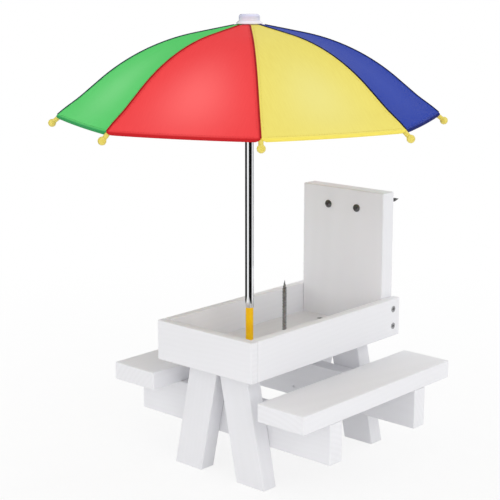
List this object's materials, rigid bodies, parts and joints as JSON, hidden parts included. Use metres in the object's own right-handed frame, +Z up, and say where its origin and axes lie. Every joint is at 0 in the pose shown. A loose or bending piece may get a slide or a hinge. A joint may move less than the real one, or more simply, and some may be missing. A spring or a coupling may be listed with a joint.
{
  "type": "squirrel feeder table",
  "caption": "Wooden picnic-table feeder with an open feed tray, side benches, a tall back board with hanging screws and a folding parasol on a lift-out peg.",
  "frame": {"origin": "on the ground under the feet, in the middle of the whole object's width and depth", "axes": "+Z up; +Y towards the back board, the way the hanging screws point; the parasol stands towards -Y; +X to the right seen from the front"},
  "size_m": [0.3822, 0.412, 0.4472],
  "materials": {
    "white_wood": "satin white paint over wood",
    "screw_steel": "zinc plated",
    "dark_steel": "phosphated, dark grey",
    "wire_steel": "bright wire",
    "chrome_tube": "polished",
    "yellow_plastic": "glossy",
    "lavender_plastic": "milky gloss",
    "white_plastic": "matt",
    "red_cloth": "satin polyester",
    "yellow_cloth": "satin polyester",
    "blue_cloth": "satin polyester",
    "green_cloth": "satin polyester"
  },
  "bodies": {
    "table": {"tray_floor": "white_wood", "tray_front_wall": "white_wood", "tray_left_wall": "white_wood", "tray_right_wall": "white_wood", "back_board": "white_wood", "front_left_leg": "white_wood", "front_right_leg": "white_wood", "rear_left_leg": "white_wood", "rear_right_leg": "white_wood", "front_bearer": "white_wood", "rear_bearer": "white_wood", "left_bench_seat": "white_wood", "right_bench_seat": "white_wood", "back_board_screws": "screw_steel", "floor_screws": "screw_steel", "bearer_screws": "screw_steel", "seat_screws": "screw_steel", "mounting_screws": "dark_steel", "feed_spike": "screw_steel"},
    "peg": {"parasol_peg": "yellow_plastic"},
    "stem": {"parasol_pole": "chrome_tube", "crown": "white_plastic", "crown_pins": "wire_steel", "parasol_cap": "lavender_plastic", "gore_1": "red_cloth", "gore_2": "yellow_cloth", "gore_3": "blue_cloth", "gore_4": "green_cloth", "gore_5": "red_cloth", "gore_6": "yellow_cloth", "gore_7": "blue_cloth", "gore_8": "green_cloth"},
    "rib_1_arm": {"rib_1": "wire_steel", "rib_tip_1": "yellow_plastic"},
    "stretcher_1_arm": {"stretcher_1": "wire_steel"},
    "rib_2_arm": {"rib_2": "wire_steel", "rib_tip_2": "yellow_plastic"},
    "stretcher_2_arm": {"stretcher_2": "wire_steel"},
    "rib_3_arm": {"rib_3": "wire_steel", "rib_tip_3": "yellow_plastic"},
    "stretcher_3_arm": {"stretcher_3": "wire_steel"},
    "rib_4_arm": {"rib_4": "wire_steel", "rib_tip_4": "yellow_plastic"},
    "stretcher_4_arm": {"stretcher_4": "wire_steel"},
    "rib_5_arm": {"rib_5": "wire_steel", "rib_tip_5": "yellow_plastic"},
    "stretcher_5_arm": {"stretcher_5": "wire_steel"},
    "rib_6_arm": {"rib_6": "wire_steel", "rib_tip_6": "yellow_plastic"},
    "stretcher_6_arm": {"stretcher_6": "wire_steel"},
    "rib_7_arm": {"rib_7": "wire_steel", "rib_tip_7": "yellow_plastic"},
    "stretcher_7_arm": {"stretcher_7": "wire_steel"},
    "rib_8_arm": {"rib_8": "wire_steel", "rib_tip_8": "yellow_plastic"},
    "stretcher_8_arm": {"stretcher_8": "wire_steel"},
    "runner_collar": {"runner": "white_plastic", "runner_pins": "wire_steel"}
  },
  "joints": [
    {"name": "parasol_lift", "type": "slide", "parent": "table", "child": "peg", "axis": [0, 0, 1], "range_m": [0, 0.06]},
    {"name": "parasol_turn", "type": "hinge", "parent": "peg", "child": "stem", "pos_m": [0, -0.01497, 0.121], "axis": [0, 0, 1], "continuous": true},
    {"name": "parasol_fold", "type": "hinge", "parent": "stem", "child": "rib_1_arm", "pos_m": [0, -0.02297, 0.4357], "axis": [1, 0, 0], "range_deg": [0, 55], "deforming": ["gore_1", "gore_2", "gore_3", "gore_4", "gore_5", "gore_6", "gore_7", "gore_8"]},
    {"name": "rib_2_fold", "type": "hinge", "parent": "stem", "child": "rib_2_arm", "pos_m": [0.00566, -0.02063, 0.4357], "axis": [0.7071, 0.7071, 0], "range_deg": [0, 55]},
    {"name": "rib_3_fold", "type": "hinge", "parent": "stem", "child": "rib_3_arm", "pos_m": [0.008, -0.01497, 0.4357], "axis": [0, 1, 0], "range_deg": [0, 55]},
    {"name": "rib_4_fold", "type": "hinge", "parent": "stem", "child": "rib_4_arm", "pos_m": [0.00566, -0.00931, 0.4357], "axis": [-0.7071, 0.7071, 0], "range_deg": [0, 55]},
    {"name": "rib_5_fold", "type": "hinge", "parent": "stem", "child": "rib_5_arm", "pos_m": [0, -0.00697, 0.4357], "axis": [-1, 0, 0], "range_deg": [0, 55]},
    {"name": "rib_6_fold", "type": "hinge", "parent": "stem", "child": "rib_6_arm", "pos_m": [-0.00566, -0.00931, 0.4357], "axis": [-0.7071, -0.7071, 0], "range_deg": [0, 55]},
    {"name": "rib_7_fold", "type": "hinge", "parent": "stem", "child": "rib_7_arm", "pos_m": [-0.008, -0.01497, 0.4357], "axis": [0, -1, 0], "range_deg": [0, 55]},
    {"name": "rib_8_fold", "type": "hinge", "parent": "stem", "child": "rib_8_arm", "pos_m": [-0.00566, -0.02063, 0.4357], "axis": [0.7071, -0.7071, 0], "range_deg": [0, 55]},
    {"name": "stretcher_1_swing", "type": "hinge", "parent": "rib_1_arm", "child": "stretcher_1_arm", "pos_m": [0, -0.11035, 0.40966], "axis": [1, 0, 0], "range_deg": [-110, 0]},
    {"name": "stretcher_2_swing", "type": "hinge", "parent": "rib_2_arm", "child": "stretcher_2_arm", "pos_m": [0.06745, -0.08242, 0.40966], "axis": [0.7071, 0.7071, 0], "range_deg": [-110, 0]},
    {"name": "stretcher_3_swing", "type": "hinge", "parent": "rib_3_arm", "child": "stretcher_3_arm", "pos_m": [0.09538, -0.01497, 0.40966], "axis": [0, 1, 0], "range_deg": [-110, 0]},
    {"name": "stretcher_4_swing", "type": "hinge", "parent": "rib_4_arm", "child": "stretcher_4_arm", "pos_m": [0.06745, 0.05248, 0.40966], "axis": [-0.7071, 0.7071, 0], "range_deg": [-110, 0]},
    {"name": "stretcher_5_swing", "type": "hinge", "parent": "rib_5_arm", "child": "stretcher_5_arm", "pos_m": [0, 0.08042, 0.40966], "axis": [-1, 0, 0], "range_deg": [-110, 0]},
    {"name": "stretcher_6_swing", "type": "hinge", "parent": "rib_6_arm", "child": "stretcher_6_arm", "pos_m": [-0.06745, 0.05248, 0.40966], "axis": [-0.7071, -0.7071, 0], "range_deg": [-110, 0]},
    {"name": "stretcher_7_swing", "type": "hinge", "parent": "rib_7_arm", "child": "stretcher_7_arm", "pos_m": [-0.09538, -0.01497, 0.40966], "axis": [0, -1, 0], "range_deg": [-110, 0]},
    {"name": "stretcher_8_swing", "type": "hinge", "parent": "rib_8_arm", "child": "stretcher_8_arm", "pos_m": [-0.06745, -0.08242, 0.40966], "axis": [0.7071, -0.7071, 0], "range_deg": [-110, 0]},
    {"name": "runner_swing", "type": "hinge", "parent": "stretcher_1_arm", "child": "runner_collar", "pos_m": [0, -0.02297, 0.38362], "axis": [1, 0, 0], "range_deg": [0, 55]}
  ],
  "couplings": [
    {"joint": "rib_2_fold", "follows": "parasol_fold", "ratio": 1},
    {"joint": "rib_3_fold", "follows": "parasol_fold", "ratio": 1},
    {"joint": "rib_4_fold", "follows": "parasol_fold", "ratio": 1},
    {"joint": "rib_5_fold", "follows": "parasol_fold", "ratio": 1},
    {"joint": "rib_6_fold", "follows": "parasol_fold", "ratio": 1},
    {"joint": "rib_7_fold", "follows": "parasol_fold", "ratio": 1},
    {"joint": "rib_8_fold", "follows": "parasol_fold", "ratio": 1},
    {"joint": "stretcher_1_swing", "follows": "parasol_fold", "ratio": -2},
    {"joint": "stretcher_2_swing", "follows": "parasol_fold", "ratio": -2},
    {"joint": "stretcher_3_swing", "follows": "parasol_fold", "ratio": -2},
    {"joint": "stretcher_4_swing", "follows": "parasol_fold", "ratio": -2},
    {"joint": "stretcher_5_swing", "follows": "parasol_fold", "ratio": -2},
    {"joint": "stretcher_6_swing", "follows": "parasol_fold", "ratio": -2},
    {"joint": "stretcher_7_swing", "follows": "parasol_fold", "ratio": -2},
    {"joint": "stretcher_8_swing", "follows": "parasol_fold", "ratio": -2},
    {"joint": "runner_swing", "follows": "parasol_fold", "ratio": 1}
  ]
}
